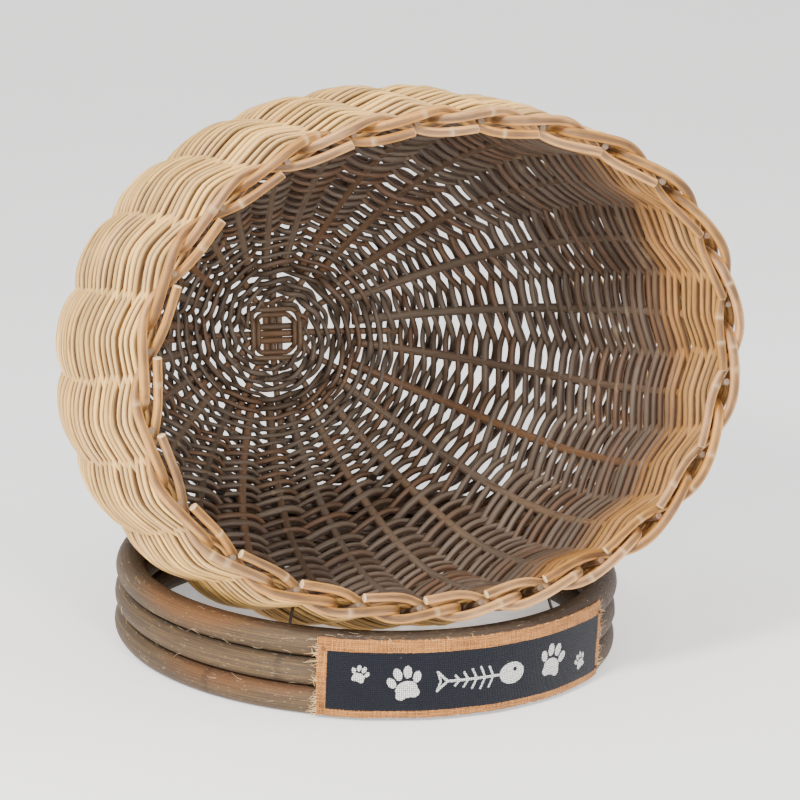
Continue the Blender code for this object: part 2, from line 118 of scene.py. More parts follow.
def basePoint(sideways, upward, offset):
    across, along = sideways / bowl["halfWidth"], upward / bowl["halfHeight"]
    size = np.maximum(np.hypot(across, along), 1e-4)
    middle, outward, _ = wallFrame(depthOfSize(size), np.arctan2(upward, sideways))
    return middle + outward * np.asarray(offset, float)[..., None], outward


# numbers that wander slowly, for hand-made irregularity
def wander(rng, count, knots, closed=True):
    keys = rng.uniform(-1, 1, knots)
    at = np.arange(count) * knots / count
    if not closed:
        at = np.arange(count) * (knots - 1.001) / (count - 1)
    low = np.floor(at).astype(int)
    part = at - low
    part = part * part * (3 - 2 * part)
    return keys[low % knots] * (1 - part) + keys[(low + 1) % knots] * part


def smoothPath(points, rounds):
    points = points.copy()
    for _ in range(rounds):
        points[1:-1] = (points[:-2] + 2 * points[1:-1] + points[2:]) / 4
    return points


def step(low, high, value):
    part = np.clip((value - low) / (high - low), 0, 1)
    return part * part * (3 - 2 * part)


# shader writing: a Wire is a socket that can be used in sums
class Wire:
    def __init__(self, finish, socket):
        self.finish, self.socket = finish, socket

    def math(self, kind, one, other=0.0):
        return self.finish.node("ShaderNodeMath", {"operation": kind}, {0: one, 1: other})

    def __add__(self, other):
        return self.math("ADD", self, other)

    def __radd__(self, other):
        return self.math("ADD", other, self)

    def __sub__(self, other):
        return self.math("SUBTRACT", self, other)

    def __rsub__(self, other):
        return self.math("SUBTRACT", other, self)

    def __mul__(self, other):
        return self.math("MULTIPLY", self, other)

    def __rmul__(self, other):
        return self.math("MULTIPLY", other, self)

    def wave(self):
        return self.math("SINE", self)

    def between(self, low, high):
        # 0 below low, 1 above high, smooth between them
        settings = {"interpolation_type": "SMOOTHSTEP"}
        return self.finish.node("ShaderNodeMapRange", settings,
                                {"Value": self, "From Min": low, "From Max": high})


class Finish:
    def __init__(self, name, roughness=0.6, **constants):
        self.material = bpy.data.materials.new(name)
        self.material.use_nodes = True
        self.tree = self.material.node_tree
        self.shader = self.tree.nodes["Principled BSDF"]
        self.shader.inputs["Roughness"].default_value = roughness
        for socket, value in constants.items():
            self.shader.inputs[socket].default_value = value

    def node(self, kind, settings=None, inputs=None, output=0):
        made = self.tree.nodes.new(kind)
        for name, value in (settings or {}).items():
            if name == "stops":
                stopsOf(made.color_ramp, value)
            else:
                setattr(made, name, value)
        for name, value in (inputs or {}).items():
            if isinstance(value, Wire):
                self.tree.links.new(value.socket, made.inputs[name])
            elif value is not None:
                made.inputs[name].default_value = value
        return Wire(self, made.outputs[output])

    def mark(self, name, output="Fac"):
        return self.node("ShaderNodeAttribute", {"attribute_name": name}, output=output)

    def noise(self, vector, scale, detail=3.0, roughness=0.55):
        return self.node("ShaderNodeTexNoise", {}, {"Vector": vector, "Scale": scale,
                                                    "Detail": detail, "Roughness": roughness})

    def stretched(self, vector, scale, shift=(0, 0, 0)):
        longer = self.node("ShaderNodeVectorMath", {"operation": "MULTIPLY"}, {0: vector, 1: scale})
        return self.node("ShaderNodeVectorMath", {"operation": "ADD"}, {0: longer, 1: shift})

    def mix(self, factor, one, other, blend="MIX"):
        settings = {"data_type": "RGBA", "blend_type": blend, "clamp_factor": True}
        return self.node("ShaderNodeMix", settings, {0: factor, 6: one, 7: other}, 2)

    def ramp(self, value, stops):
        return self.node("ShaderNodeValToRGB", {"stops": stops}, {"Fac": value})

    def bump(self, height, strength, distance):
        normal = self.node("ShaderNodeBump", {}, {"Height": height, "Strength": strength,
                                                  "Distance": distance})
        self.feed("Normal", normal)

    def feed(self, socket, wire):
        self.tree.links.new(wire.socket, self.shader.inputs[socket])


def stopsOf(ramp, stops):
    while len(ramp.elements) > 1:
        ramp.elements.remove(ramp.elements[0])
    ramp.elements[0].position, ramp.elements[0].color = stops[0]
    for place, colour in stops[1:]:
        ramp.elements.new(place).color = colour


def paint(red, green, blue):
    # a colour as the eye sees it, 0 to 255, turned into light
    levels = [value / 255 for value in (red, green, blue)]
    return (*[v / 12.92 if v < 0.04045 else ((v + 0.055) / 1.055) ** 2.4 for v in levels], 1.0)


# canes as meshes
def addPiece(name, mesh, finish, slot, *replaced):
    piece = bpy.data.objects.new(name, mesh)
    bpy.context.scene.collection.objects.link(piece)
    mesh.materials.append(finish.material)
    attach(piece, "root")
    if replaced:
        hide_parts(*replaced)
    return piece


def sweep(name, path, out, wide, thick, sides=8, closed=True, marks=None, seed=0):
    # canes of oval section along paths of shape (cane, place, 3)
    # wide is the half size across the wall's rows and thick the half size along out
    count, places = path.shape[:2]
    if closed:
        along = np.roll(path, -1, 1) - np.roll(path, 1, 1)
    else:
        along = np.gradient(path, axis=1)
    along = unit(along)
    side = unit(np.cross(along, out))
    lift = np.cross(side, along)
    section = np.arange(sides) * tau / sides
    cosine, sine = np.cos(section)[:, None], np.sin(section)[:, None]
    ring = (lift[:, :, None] * cosine * thick[..., None, None]
            + side[:, :, None] * sine * wide[..., None, None])
    points = (path[:, :, None] + ring).reshape(-1, 3)

    loops = places if closed else places - 1
    cane, place, edge = np.meshgrid(np.arange(count), np.arange(loops), np.arange(sides),
                                    indexing="ij")
    after, beside = (place + 1) % places, (edge + 1) % sides

    def index(i, j):
        return ((cane * places + i) * sides + j).ravel()
    quads = np.stack([index(place, edge), index(place, beside), index(after, beside),
                      index(after, edge)], 1)
    reach = 1.0 if closed else 0.98
    u0, u1 = (place / loops * reach).ravel(), ((place + 1) / loops * reach).ravel()
    v0 = ((cane + edge / sides) / count).ravel()
    v1 = ((cane + (edge + 1) / sides) / count).ravel()
    maps = [np.stack([np.stack([u0, u0, u1, u1], 1), np.stack([v0, v1, v1, v0], 1)], -1)
            .reshape(-1, 2)]
    faces = quads.tolist()
    if not closed:
        turns = np.arange(sides)
        for number in range(count):
            first = (number * places) * sides + turns
            last = (number * places + places - 1) * sides + turns
            faces += [first[::-1].tolist(), last.tolist()]
            centre = np.array((0.99, (number + 0.5) / count))
            spread = np.array((0.009, 0.4 / count))
            disc = np.stack([np.cos(turns * tau / sides), np.sin(turns * tau / sides)], 1)
            maps += [centre + disc[::-1] * spread * (1, 0.5) - (0, 0.25 / count),
                     centre + disc * spread * (1, 0.5) + (0, 0.25 / count)]
    mesh = bpy.data.meshes.new(name)
    mesh.from_pydata(points, [], faces)
    uv = mesh.uv_layers.new(name="OFBake")
    uv.data.foreach_set("uv", np.concatenate(maps).ravel())
    mesh.polygons.foreach_set("use_smooth", np.ones(len(faces), bool))

    lengths = np.linalg.norm(np.diff(path, axis=1), axis=2)
    travelled = np.concatenate([np.zeros((count, 1)), np.cumsum(lengths, 1)], 1)
    rng = np.random.default_rng(seed)
    grain = np.empty((count, places, sides, 3))
    grain[..., 0] = travelled[:, :, None]
    grain[..., 1] = thick[..., None] * cosine[:, 0]
    grain[..., 2] = wide[..., None] * sine[:, 0]
    grain += rng.uniform(0, 30, (count, 1, 1, 3))
    mesh.attributes.new("grain", "FLOAT_VECTOR", "POINT").data.foreach_set("vector", grain.ravel())
    for mark, values in (marks or {}).items():
        values = np.asarray(values, float)
        while values.ndim < 3:
            values = values[..., None]
        full = np.broadcast_to(values, (count, places, sides))
        mesh.attributes.new(mark, "FLOAT", "POINT").data.foreach_set("value", full.ravel())
    mesh.update()
    return mesh


# finishes
caneLook = {
    "pale": paint(250, 200, 114), "tan": paint(188, 132, 70), "brown": paint(118, 92, 68),
    "grey": paint(102, 88, 75), "warm": paint(184, 110, 48), "pink": paint(200, 158, 118),
    # crease colour: a dark brown for real grain lines and for painted shade on the canes' sides
    "crease": paint(52, 31, 17), "streak": 0.85, "speck": 0.6, "roughness": 0.48,
}


def caneFinish(name, look, cut=False):
    finish = Finish(name, look["roughness"], **{"Specular IOR Level": 0.35})
    grain, age, tone = finish.mark("grain", "Vector"), finish.mark("age"), finish.mark("tone")
    fibres = finish.noise(finish.stretched(grain, (38, 1500, 1500)), 1.0, 4.0, 0.6)
    bands = finish.noise(finish.stretched(grain, (9, 260, 260)), 1.0, 2.0)
    blotches = finish.noise(finish.stretched(grain, (30, 60, 60), (7, 3, 1)), 1.0, 3.0)
    # greyness runs the ramp from pale to grey-brown; on the outer rows it also carries painted
    # underside shade
    place = age + (bands - 0.5) * 0.28 + (tone - 0.5) * 0.16
    colour = finish.ramp(place, ((0.0, look["pale"]), (0.42, look["tan"]),
                                 (0.72, look["brown"]), (1.0, look["grey"])))
    warmth = (tone * 5.3).wave().between(0.35, 1.1) * 0.34
    colour = finish.mix(warmth, colour, finish.mix(0.5, colour, look["warm"]))
    pinkness = (tone * 9.1 + 2).wave().between(0.3, 1.0) * (1 - age) * 0.45
    colour = finish.mix(pinkness, colour, look["pink"])
    light = 0.62 + tone * 0.56 + (fibres - 0.5) * look["streak"] + (bands - 0.5) * 0.3
    light = light * (1 - blotches.between(0.60, 0.78) * 0.16)
    grey = finish.node("ShaderNodeCombineColor", {}, {0: light, 1: light, 2: light})
    colour = finish.mix(1.0, colour, grey, "MULTIPLY")
    lines = finish.noise(finish.stretched(grain, (22, 700, 700), (6, 6, 1)), 1.0, 3.0)
    colour = finish.mix(lines.between(0.57, 0.68) * 0.55, colour, look["crease"])
    # painted shade: each cane's sides, where it presses on its neighbours, are darkened towards the
    # dark crease colour
    crease = finish.mark("crease") + (blotches - 0.5) * 0.7
    colour = finish.mix(crease.between(0.3, 0.95) * 0.85, colour, look["crease"])
    specks = finish.noise(finish.stretched(grain, (210, 520, 520), (2, 9, 4)), 1.0, 2.0)
    marks = specks.between(0.69, 0.76) * look["speck"]
    colour = finish.mix(marks, colour, paint(70, 50, 36))
    knot = finish.mark("knot")
    colour = finish.mix(knot * 0.3, colour, paint(236, 206, 156))
    if cut:
        rings = finish.noise(finish.stretched(grain, (300, 900, 900)), 1.0, 2.0)
        pith = finish.mix(rings.between(0.35, 0.7), paint(240, 214, 166), paint(206, 166, 116))
        colour = finish.mix(finish.mark("cut"), colour, pith)
    finish.feed("Base Color", colour)
    finish.feed("Roughness", look["roughness"] - 0.06 + fibres * 0.16 + age * 0.08)
    finish.bump(fibres * 0.6 + bands * 0.4 - marks * 0.4 + knot * 0.6, 0.5, 0.0006)
    return finish


weaverFinish = caneFinish("weaver_willow", caneLook)
borderLook = dict(caneLook, pale=paint(208, 150, 76), tan=paint(166, 114, 58), streak=1.0,
                  roughness=0.42)
borderFinish = caneFinish("border_willow", borderLook, cut=True)
baseFinish = caneFinish("base_willow", dict(caneLook, streak=0.4))
print("willow finishes ready")


# weave: rows of two weavers that cross between the stakes
weave = {
    "firstRow": 0.0340, "basePitch": 0.0100, "wallPitch": 0.0172, "rimPitch": 0.0156,
    "baseHalf": 0.0028, "wallHalf": 0.0038, "rimThick": 0.0034, "rimWide": 0.0045,
    "reach": 0.0078, "baseReach": 0.0058, "groupReach": 0.0072,
    "groupsStart": 0.29, "sticksEnd": 0.45, "baseEnd": 0.56, "topRoom": 0.0072, "wobble": 0.0009,
    "samples": 12, "sides": 8,
    "gauge": radians(40),                          # the turn along which the rows are spaced
}


def rowDepths():
    turn = weave["gauge"]
    first = depthOfSize(weave["firstRow"] / np.hypot(bowl["halfWidth"] * cos(turn),
                                                     bowl["halfHeight"] * sin(turn)))
    depths = first + (1 - first) * np.linspace(0, 1, 3000) ** 1.5
    places = wallMiddle(depths, wallAngle(np.full_like(depths, turn)))
    lengths = np.concatenate([[0], np.cumsum(np.linalg.norm(np.diff(places, axis=0), axis=1))])
    end = lengths[-1] - weave["topRoom"]
    rows, at = [], 0.0
    while at < end:
        rows.append(at)
        depth = np.interp(at, lengths, depths)
        pitch = weave["basePitch"]
        pitch = pitch + (weave["wallPitch"] - weave["basePitch"]) * step(0.05, 0.2, depth)
        pitch = pitch + (weave["rimPitch"] - weave["wallPitch"]) * step(0.5, 0.8, depth)
        at += pitch * (1 + 0.13 * sin(len(rows) * 2.4))
    rows = np.array(rows) * end / rows[-1]
    return np.interp(rows, lengths, depths)


def greynessInside(depth, turn):
    edge = 0.03 * np.sin(turn * 3 + 1) + 0.02 * np.sin(turn * 7)
    return 1 - 0.66 * step(0.64, 0.88, depth + edge)


# outside: pale near the mouth, grey-brown on the deeper rows; this grey is partly weathering of the
# cane and partly painted shade on the underside near the ring
def greynessAndShadeOutside(depth, turn):
    return 0.92 * (1 - step(0.16, 0.46, depth + 0.03 * np.sin(turn * 5)))


def knotsAlong(rng, places):
    knots = np.zeros(places)
    knots[rng.integers(0, places, 2)] = rng.uniform(0.2, 0.5, 2)
    return knots


def weaveRows(name, depths, seed, *replaced):
    rng = np.random.default_rng(seed)
    rows, places = len(depths), stakes["count"] * weave["samples"]
    turn = np.arange(places) * tau / places
    size = swell(depths) / swell(1.0)
    angle = wallAngle(turn)
    radius = np.hypot(bowl["halfWidth"] * np.cos(angle), bowl["halfHeight"] * np.sin(angle))
    middle = np.interp(weave["gauge"], turn, radius)
    section = np.arange(weave["sides"]) * tau / weave["sides"]
    # the first rows are rounder than the mouth
    roundness = (1 - step(0.2, 0.8, size))[:, None]
    depth = np.where((depths < depthOfSize(0.8))[:, None],
                     depthOfSize(size[:, None] * (middle / radius) ** roundness), depths[:, None])
    nearRim = step(0.5, 0.85, depths)[:, None]
    outerPart = step(0.04, 0.2, depths)[:, None]
    thick = weave["baseHalf"] + (weave["wallHalf"] - weave["baseHalf"]) * outerPart
    wide = thick + (weave["rimWide"] - weave["wallHalf"]) * nearRim
    thick = thick + (weave["rimThick"] - weave["wallHalf"]) * nearRim
    overGroups = (size < weave["sticksEnd"])[:, None]
    reach = np.where(overGroups, weave["baseReach"], weave["reach"])
    reach = np.where(overGroups & (size > weave["groupsStart"])[:, None], weave["groupReach"], reach)
    flatness = np.where(overGroups, 1.6 + 1.6 * step(0.25, 0.4, size)[:, None], 1.15)
    phase = np.where(overGroups, turn / (2 * pitchTurn), turn / pitchTurn - 0.5) * pi
    canes = []
    for row in range(rows):
        sway = (wander(rng, places, 31) + wander(rng, places, 9)) * weave["wobble"]
        sway = sway * (0.4 + 0.6 * outerPart[row])
        for weaver in (0, 1):
            swing = np.cos(phase[row] + pi * weaver)
            side = np.sin(phase[row] + pi * weaver)
            flat = np.tanh(flatness[row] * swing) / np.tanh(flatness[row])
            peaked = np.arcsin(0.95 * swing) / np.arcsin(0.95)
            flat = flat + (peaked - flat) * nearRim[row]
            plump = 1 + rng.uniform(-0.2, 0.16) + 0.1 * wander(rng, places, 17)
            radial = reach[row] * flat * (1 + rng.uniform(-0.05, 0.05))
            slide = sway + side * wide[row] * 0.92 + wander(rng, places, 25) * 0.0005
            at, outward, ahead = wallFrame(depth[row], turn)
            path = at + outward * radial[:, None] + ahead * slide[:, None]
            # the side of a weaver that faces out is paler than the side in the cabin, and the cane's
            # sides take the darker inside colour as painted shade in the creases between rows
            outer = step(-0.1, 0.9, 0.4 * flat[:, None] + np.cos(section))
            age = greynessInside(depth[row], turn)[:, None]
            age = age + (greynessAndShadeOutside(depth[row], turn)[:, None] - age) * outer
            joint = int(rng.integers(0, places))
            tone = np.where((np.arange(places) - joint) % places < rng.integers(60, places - 60),
                            rng.random(), rng.random())
            canes.append((path, outward, wide[row] * plump, thick[row] * plump, age, tone))
    path, out, wides, thicks, ages, tones = (np.array(part) for part in zip(*canes))
    knots = np.array([knotsAlong(rng, places) for _ in range(len(path))])
    marks = {"age": ages, "tone": tones[..., None], "knot": knots[..., None],
             # crease mask: painted shade on each weaver's sides, between the rows
             "crease": np.sin(section)[None, None] ** 2}
    mesh = sweep(name, path, out, wides, thicks, weave["sides"], True, marks, seed)
    return addPiece(name, mesh, weaverFinish, "weave_outer_cane", *replaced)


allRows = rowDepths()
baseRows = allRows[swell(allRows) / swell(1.0) < weave["baseEnd"]]
baseRows = baseRows[baseRows < 0.3]
wallRows = allRows[len(baseRows):]
third = (len(wallRows) + 2) // 3
weaveRows("baseWeave", baseRows, 11, "base_weave_outer", "base_weave_inner")
weaveRows("wallWeaveBack", wallRows[:third], 12, "side_weave_outer", "side_weave_inner")
weaveRows("wallWeaveMiddle", wallRows[third:2 * third], 13)
weaveRows("wallWeaveRim", wallRows[2 * third:], 14)
print("weave:", len(baseRows), "rows in the base and", len(wallRows), "up the wall")


# base cross
cross = {
    "stickHalf": 0.0031, "tieHalf": 0.0024, "gap": 0.0006, "corner": 1.0, "clear": 2.35,
    "fanLead": 0.01, "stickEnd": 0.46, "cornerLevel": 0.25,
    "stickPlaces": 90, "tiePlaces": 120, "sides": 12,
}


def resample(points, count, closed=False):
    if closed:
        points = np.concatenate([points, points[:1]])
    lengths = np.concatenate([[0], np.cumsum(np.linalg.norm(np.diff(points, axis=0), axis=1))])
    wanted = np.linspace(0, lengths[-1], count + 1 if closed else count)
    made = np.stack([np.interp(wanted, lengths, points[:, axis]) for axis in range(3)], 1)
    return made[:-1] if closed else made


def baseCross():
    stick, tie, gap = cross["stickHalf"] * 2, cross["tieHalf"] * 2, cross["gap"]
    firstTie = 2.5 * stick + gap + tie / 2
    secondTie = firstTie + tie + gap
    fanStart = (secondTie + cross["clear"] * tie) / bowl["halfHeight"] - cross["fanLead"]
    places = cross["stickPlaces"]
    rng = np.random.default_rng(5)
    for kind in ("across", "upright"):
        layer = (-1 if kind == "across" else 1) * (stick + gap) / 2
        for number in (-1, 0, 1):
            side = number * (stick + gap)
            half = [(0.0, side, layer), (secondTie + tie, side, layer)]
            turn = tau / 12 * number if kind == "across" else pi / 2 - tau / 12 * number
            angle = float(wallAngle(turn))
            for size in np.linspace(fanStart, cross["stickEnd"], 5):
                flat = (size * bowl["halfWidth"] * cos(angle), size * bowl["halfHeight"] * sin(angle))
                half.append((*(flat if kind == "across" else flat[::-1]), 0.0))
            route = np.array([(-run, beside, lift) for run, beside, lift in half[:0:-1]] + half)
            run, beside, lift = smoothPath(resample(route, places), 6).T
            path, out = basePoint(*((run, beside) if kind == "across" else (beside, run)), lift)
            name = kind + "Stick" + str(number + 2)
            plump = cross["stickHalf"] * (1.07 + 0.05 * wander(rng, places, 9, False))[None]
            age = 0.84 + 0.1 * wander(rng, places, 7, False)[None, :, None]
            marks = {"age": age, "tone": rng.random(), "knot": 0.0}
            mesh = sweep(name, path[None], out[None], plump, plump, cross["sides"], False, marks,
                         number + 20)
            addPiece(name, mesh, baseFinish, "base_cane", f"base_stick_{kind}_{number + 2}")
    near = (tie + gap) / 2
    far = stick + gap + near
    sticksReach = 1.5 * stick + 2 * gap
    for name, reach, uprightLevel, acrossLevel in (("inner", firstTie, -near, -far),
                                                   ("outer", secondTie, -near, -far)):
        side = reach - cross["corner"] * tie
        points = []
        for quarter in range(4):
            level = acrossLevel if quarter % 2 == 0 else uprightLevel
            c, s = round(cos(quarter * pi / 2)), round(sin(quarter * pi / 2))
            for run, share in ((-side, cross["cornerLevel"]), (-sticksReach, 1), (sticksReach, 1),
                               (side, cross["cornerLevel"])):
                points.append((reach * c - run * s, reach * s + run * c, level * share))
        points = resample(np.array(points), cross["tiePlaces"], True)
        for _ in range(4):
            points = (np.roll(points, 1, 0) + 2 * points + np.roll(points, -1, 0)) / 4
        path, out = basePoint(points[:, 0], points[:, 1], points[:, 2])
        half = np.full((1, cross["tiePlaces"]), cross["tieHalf"] * 1.12)
        marks = {"age": 0.8, "tone": rng.random(), "knot": 0.0}
        mesh = sweep(name + "Tie", path[None], out[None], half, half, cross["sides"], True, marks, 31)
        addPiece(name + "Tie", mesh, baseFinish, "base_cane", "cross_binding_" + name)


baseCross()
print("base cross ready")


# stakes and their border
border = {
    "travelled": (0, 0.14, 0.30, 0.50, 0.75, 1.00, 1.25, 1.50, 1.75, 2.00, 2.25, 2.50, 2.76),
    "outward": (0, 0, 0.064, 0.234, 0.553, 0.851, 1.117, 0.681, -0.383, -1.064, -1.106, -0.936, -0.681),
    "forward": (0, 0.447, 0.83, 1.149, 1.383, 1.255, 0.596, 0.043, 0.021, 0.447, 0.979, 1.34, 1.489),
    "climb": 34, "route": 74, "start": 0.302, "knots": 3, "taper": 0.17, "sides": 14,
}


def stakeCane(index):
    rng = np.random.default_rng(100 + index)
    climb = np.linspace(depthOfSize(border["start"]) ** 0.5, 1, border["climb"]) ** 2
    turn = pitchTurn * (index + 0.5)
    rise, riseOut, _ = wallFrame(climb, np.full_like(climb, turn))
    travelled = np.linspace(0, border["travelled"][-1] + rng.uniform(-0.05, 0.04), border["route"])
    keys = np.array([border["travelled"], border["outward"], border["forward"]])
    outward = np.interp(travelled, keys[0], keys[1]) * stakes["half"] * 2
    forward = np.interp(travelled, keys[0], keys[2]) * stakes["half"] * 2
    at, out, ahead = wallFrame(np.ones_like(travelled), turn - travelled * pitchTurn)
    bend = at + out * outward[:, None] + ahead * forward[:, None]
    path = smoothPath(np.concatenate([rise[:-1], bend]), 36)
    out = np.concatenate([riseOut[:-1], out])
    tip = unit(path[-1] - path[-2])
    path = np.concatenate([path, path[-1:] + tip * 0.0004, path[-1:] + tip * 0.0008])
    out = np.concatenate([out, out[-1:], out[-1:]])
    places = len(path)
    lengths = np.concatenate([[0], np.cumsum(np.linalg.norm(np.diff(path, axis=0), axis=1))])
    half = stakes["half"] * (1 + 0.035 * wander(rng, places, 13, False))
    half = half * (1 - border["taper"] * step(0.6, 1.0, lengths / lengths[-1]))
    knot = np.zeros(places)
    for _ in range(border["knots"]):
        where = rng.uniform(0.55, 0.97) * lengths[-1]
        knot = np.maximum(knot, np.exp(-((lengths - where) / 0.0016) ** 2))
    half = half * (1 + 0.07 * knot)
    half[-1] *= 0.86
    inWall = step(0.62, 0.97, np.concatenate([climb[:-1], np.ones(places - border["climb"] + 1)]))
    age = 0.95 - 0.85 * inWall + 0.14 * wander(rng, places, 9, False)
    cut = np.zeros(places)
    cut[-2:] = (0.3, 1)
    section = np.arange(border["sides"]) * tau / border["sides"]
    marks = {"age": age[None, :, None], "tone": rng.random(), "knot": knot[None, :, None],
             "cut": cut[None, :, None],
             # crease mask: painted shade on the cane's sides, where the border canes touch
             "crease": np.sin(section)[None, None] ** 2 * 0.85}
    name = f"stakeCane{index + 1:02d}"
    mesh = sweep(name, path[None], out[None], half[None], half[None], border["sides"], False, marks,
                 index)
    addPiece(name, mesh, borderFinish, "border_cane", f"stake_{index + 1:02d}")


for stakeIndex in range(stakes["count"]):
    stakeCane(stakeIndex)
print("stakes and border ready")


# short canes pushed in beside the stakes, whose ends show in the border
byStakes = {"half": 0.0029, "beside": 0.135, "inward": -0.0004, "end": 0.0112, "sides": 12}


def byStakeEnds():
    rng = np.random.default_rng(77)
    count, places = stakes["count"], 9
    turns = pitchTurn * (np.arange(count) + 0.5 + byStakes["beside"] + rng.uniform(-.02, .02, count))
    depth = np.linspace(0.9, 1.0, places - 4)
    at, out, ahead = wallFrame(depth[None], turns[:, None])
    path = at + out * byStakes["inward"]
    tops = byStakes["end"] + rng.uniform(-0.002, 0.001, (count, 1, 1))
    more = np.array((0.5, 0.97, 0.985, 1.0))[:, None] * tops
    path = np.concatenate([path, path[:, -1:] + ahead[:, -1:] * more], 1)
    out = np.concatenate([out, np.repeat(out[:, -1:], 4, 1)], 1)
    half = np.full((count, places), byStakes["half"]) * rng.uniform(0.88, 1.08, (count, 1))
    half[:, -1] *= 0.85
    marks = {"age": 0.85, "tone": rng.random((count, 1, 1)), "knot": 0.0}
    mesh = sweep("byStakeEnds", path, out, half, half, byStakes["sides"], False, marks, 8)
    addPiece("byStakeEnds", mesh, baseFinish, "border_cane")


byStakeEnds()


# hoops of the ring
hoops = {
    "sides": 28, "places": 420, "rough": 0.00035, "knots": 5,
    "ash": paint(72, 58, 44), "straw": paint(104, 82, 52), "rust": paint(104, 64, 30),
    # soot colour: a near-black for real knots and for painted shade between the hoops
    "darkKnotAndShade": paint(32, 25, 22), "plum": paint(58, 48, 45),
}


def hoopFinish():
    finish = Finish("hoop_cane", 0.6, **{"Specular IOR Level": 0.3})
    grain, rust = finish.mark("grain", "Vector"), finish.mark("rust")
    # masks of painted shade: low for the hoops' top and bottom faces, side for the ring's right-hand
    # half
    low, side = finish.mark("under"), finish.mark("dull")
    fibres = finish.noise(finish.stretched(grain, (26, 1300, 1300)), 1.0, 5.0, 0.65)
    streaks = finish.noise(finish.stretched(grain, (9, 620, 620), (3, 1, 5)), 1.0, 5.0, 0.7)
    clouds = finish.noise(finish.stretched(grain, (11, 40, 40), (1, 8, 2)), 1.0, 4.0, 0.6)
    colour = finish.mix(streaks.between(0.42, 0.66), hoops["ash"], hoops["straw"])
    colour = finish.mix(clouds.between(0.48, 0.72) * 0.6, colour, hoops["plum"])
    glow = (rust * 1.25 + (clouds - 0.5) * 1.1).between(0.35, 0.95)
    colour = finish.mix(glow * 0.6, colour, hoops["rust"])
    # painted shade over the ring's right-hand half, the side away from the key light
    colour = finish.mix(side * 0.65, colour, hoops["plum"])
    # painted shade on the hoops' top and bottom faces, where they press on each other, the basket and
    # the floor
    colour = finish.mix(low * 0.62, colour, hoops["darkKnotAndShade"])
    light = 0.3 + fibres * 1.4
    grey = finish.node("ShaderNodeCombineColor", {}, {0: light, 1: light, 2: light})
    colour = finish.mix(1.0, colour, grey, "MULTIPLY")
    cracks = finish.noise(finish.stretched(grain, (75, 900, 900), (4, 4, 9)), 1.0, 3.0)
    lines = cracks.between(0.66, 0.73) * 0.6
    colour = finish.mix(lines, colour, paint(58, 46, 38))
    pale = finish.noise(finish.stretched(grain, (160, 1500, 1500), (8, 2, 6)), 1.0, 3.0)
    colour = finish.mix(pale.between(0.64, 0.72) * 0.5, colour, paint(208, 188, 148))
    knot = finish.mark("knot")
    colour = finish.mix(knot * 0.5, colour, hoops["darkKnotAndShade"])
    finish.feed("Base Color", colour)
    finish.feed("Roughness", 0.5 + fibres * 0.26)
    finish.bump(fibres * 0.5 + streaks * 0.5 - lines * 0.6, 0.7, 0.0012)
    return finish


caneHoopFinish = hoopFinish()


def hoop(name, node, seed, rustAt, rustWidth, rustAmount):
    low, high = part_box(node)
    rng = np.random.default_rng(seed)
    places, sides = hoops["places"], hoops["sides"]
    turn = np.arange(places) * tau / places
    half = hoopThick / 2
    out = np.stack([np.cos(turn), np.sin(turn), 0 * turn], 1)
    middle = ringOut - half + hoops["rough"] * wander(rng, places, 11)
    path = np.array((ringX, ringY, (low.z + high.z) / 2)) + out * middle[:, None]
    knot = np.zeros(places)
    for place in rng.uniform(0, tau, hoops["knots"]):
        away = (turn - place + pi) % tau - pi
        knot = np.maximum(knot, np.exp(-(away * ringOut / 0.0028) ** 2))
    thick = half * (1 + 0.018 * wander(rng, places, 23)) + 0.0004 * knot
    wide = np.full(places, half * 0.998)
    away = (turn - radians(rustAt) + pi) % tau - pi
    rust = np.exp(-(away / radians(rustWidth)) ** 2) * rustAmount
    away = (turn - radians(rustAt + 150) + pi) % tau - pi
    rust = np.maximum(rust, np.exp(-(away / radians(24)) ** 2) * rustAmount * 0.5)
    section = np.arange(sides) * tau / sides
    # top and bottom faces of each hoop: painted shade where the hoops meet
    under = np.clip(np.abs(np.sin(section)) - 0.55, 0, 1) / 0.45
    # painted shade on the ring's right-hand half, away from the key light
    dull = step(-0.1, 0.8, np.sin(turn + radians(105)))
    marks = {"rust": rust[None, :, None] * (0.62 - 0.38 * np.sin(section))[None, None],
             "under": (under ** 2)[None, None], "knot": knot[None, :, None],
             "dull": dull[None, :, None]}
    mesh = sweep(name, path[None], out[None], wide[None], thick[None], sides, True, marks, seed)
    addPiece(name, mesh, caneHoopFinish, "ring_cane", node)


hoop("hoopLower", "hoop_lower", 41, 222, 26, 0.85)
hoop("hoopMiddle", "hoop_middle", 42, 262, 20, 0.30)
hoop("hoopTop", "hoop_top", 43, 207, 22, 1.0)
print("ring ready")


# label round the front of the ring
labelLow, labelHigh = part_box("label_hessian")
label = {
    "length": 0.300, "height": labelHigh.z - labelLow.z, "low": labelLow.z, "turn": 8,
    "cloth": 0.0014, "clear": 0.0006, "curl": 0.0016, "yarn": 0.00165,
    "columns": 440, "rows": 100, "backStep": 4,      # the back has one row for four in front
    "threadHalf": 0.00024, "leftThreads": 52, "rightThreads": 34, "edgeThreads": 60,
    "left": 0.0088, "right": 0.0066, "top": 0.0108, "bottom": 0.0066,
    "jute": paint(198, 132, 66), "deep": paint(108, 64, 28), "navy": paint(15, 18, 28),
    "chalk": paint(236, 236, 230),
}


def blob(x, y, centre, radii, lean=0):
    dx, dy = x - centre[0], y - centre[1]
    c, s = cos(radians(lean)), sin(radians(lean))
    away = np.hypot((dx * c + dy * s) / radii[0], (dy * c - dx * s) / radii[1])
    return (1 - away) * min(radii)


